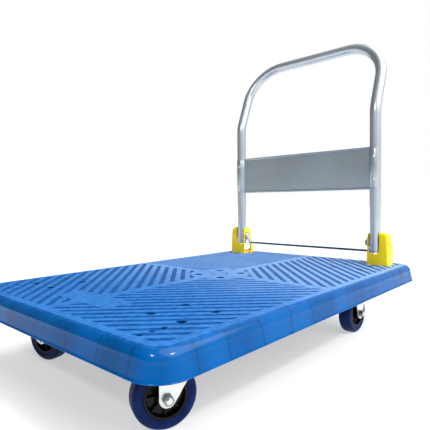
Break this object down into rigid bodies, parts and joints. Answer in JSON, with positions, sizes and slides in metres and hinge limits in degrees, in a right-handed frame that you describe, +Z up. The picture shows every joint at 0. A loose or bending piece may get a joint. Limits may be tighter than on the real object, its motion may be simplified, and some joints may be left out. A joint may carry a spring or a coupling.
{
  "type": "folding platform cart",
  "caption": "Flat moulded deck on four casters with a tubular push handle that folds down flat between two corner hinge brackets.",
  "frame": {"origin": "on the floor, under the middle of the cart's overall length and width", "axes": "+X along the deck away from the handle, +Y to the left of the person pushing, +Z up"},
  "size_m": [0.9064, 0.61, 0.788],
  "materials": {
    "deck_plastic": "glossy moulded",
    "bracket_plastic": "glossy moulded",
    "tube_paint": "satin silver-grey powder coat",
    "panel_steel": "satin silver-grey powder coat",
    "zinc": "bright zinc plate",
    "spring_steel": "yellow chromate",
    "bar_steel": "dark blued",
    "nylon": "satin",
    "black_plastic": "satin",
    "tyre_rubber": "satin",
    "bush_steel": "turned"
  },
  "bodies": {
    "cart": {"deck": "deck_plastic", "bracket_left": "bracket_plastic", "bracket_right": "bracket_plastic", "bracket_screws": "zinc", "bracket_nuts": "zinc", "pivot_bolts": "zinc", "pivot_spacers": "nylon", "pivot_nuts": "zinc", "latch_spring_left": "spring_steel", "latch_spring_right": "spring_steel", "caster_bolts": "zinc", "caster_nuts": "zinc", "front_plate_left": "zinc", "front_plate_right": "zinc", "front_balls": "bush_steel", "kingpins": "zinc", "rear_fork_left": "zinc", "rear_fork_right": "zinc", "rear_axles": "zinc", "rear_axle_nuts": "zinc"},
    "handle": {"handle_tube": "tube_paint", "tube_plugs": "black_plastic", "handle_panel": "panel_steel", "panel_rivets": "zinc"},
    "release": {"release_bar": "bar_steel", "latch_left": "zinc", "latch_right": "zinc"},
    "swivel_left": {"front_fork_left": "zinc", "front_axle_left": "zinc", "front_axle_nut_left": "zinc"},
    "swivel_right": {"front_fork_right": "zinc", "front_axle_right": "zinc", "front_axle_nut_right": "zinc"},
    "front_wheel_left": {"front_tyre_left": "tyre_rubber", "front_hub_left": "black_plastic", "front_bush_left": "bush_steel"},
    "front_wheel_right": {"front_tyre_right": "tyre_rubber", "front_hub_right": "black_plastic", "front_bush_right": "bush_steel"},
    "rear_wheel_left": {"rear_tyre_left": "tyre_rubber", "rear_hub_left": "black_plastic", "rear_bush_left": "bush_steel"},
    "rear_wheel_right": {"rear_tyre_right": "tyre_rubber", "rear_hub_right": "black_plastic", "rear_bush_right": "bush_steel"}
  },
  "joints": [
    {"name": "handle_fold", "type": "hinge", "parent": "cart", "child": "handle", "pos_m": [-0.36477, 0, 0.225], "axis": [0, 1, 0], "range_deg": [0, 90]},
    {"name": "release_push", "type": "slide", "parent": "cart", "child": "release", "axis": [0, 0, -1], "range_m": [0, 0.006], "stiffness_N_per_m": 1500, "springref_m": -0.01, "deforming": ["latch_spring_left", "latch_spring_right"]},
    {"name": "swivel_left", "type": "hinge", "parent": "cart", "child": "swivel_left", "pos_m": [0.30323, 0.19, 0.1], "axis": [0, 0, 1], "continuous": true},
    {"name": "swivel_right", "type": "hinge", "parent": "cart", "child": "swivel_right", "pos_m": [0.30323, -0.19, 0.1], "axis": [0, 0, 1], "continuous": true},
    {"name": "front_wheel_left_roll", "type": "hinge", "parent": "swivel_left", "child": "front_wheel_left", "pos_m": [0.33338, 0.17658, 0.05], "axis": [0.4067, 0.9135, 0], "continuous": true},
    {"name": "front_wheel_right_roll", "type": "hinge", "parent": "swivel_right", "child": "front_wheel_right", "pos_m": [0.30953, -0.22239, 0.05], "axis": [0.9816, 0.1908, 0], "continuous": true},
    {"name": "rear_wheel_left_roll", "type": "hinge", "parent": "cart", "child": "rear_wheel_left", "pos_m": [-0.29677, 0.19, 0.05], "axis": [0, 1, 0], "continuous": true},
    {"name": "rear_wheel_right_roll", "type": "hinge", "parent": "cart", "child": "rear_wheel_right", "pos_m": [-0.29677, -0.19, 0.05], "axis": [0, 1, 0], "continuous": true}
  ]
}
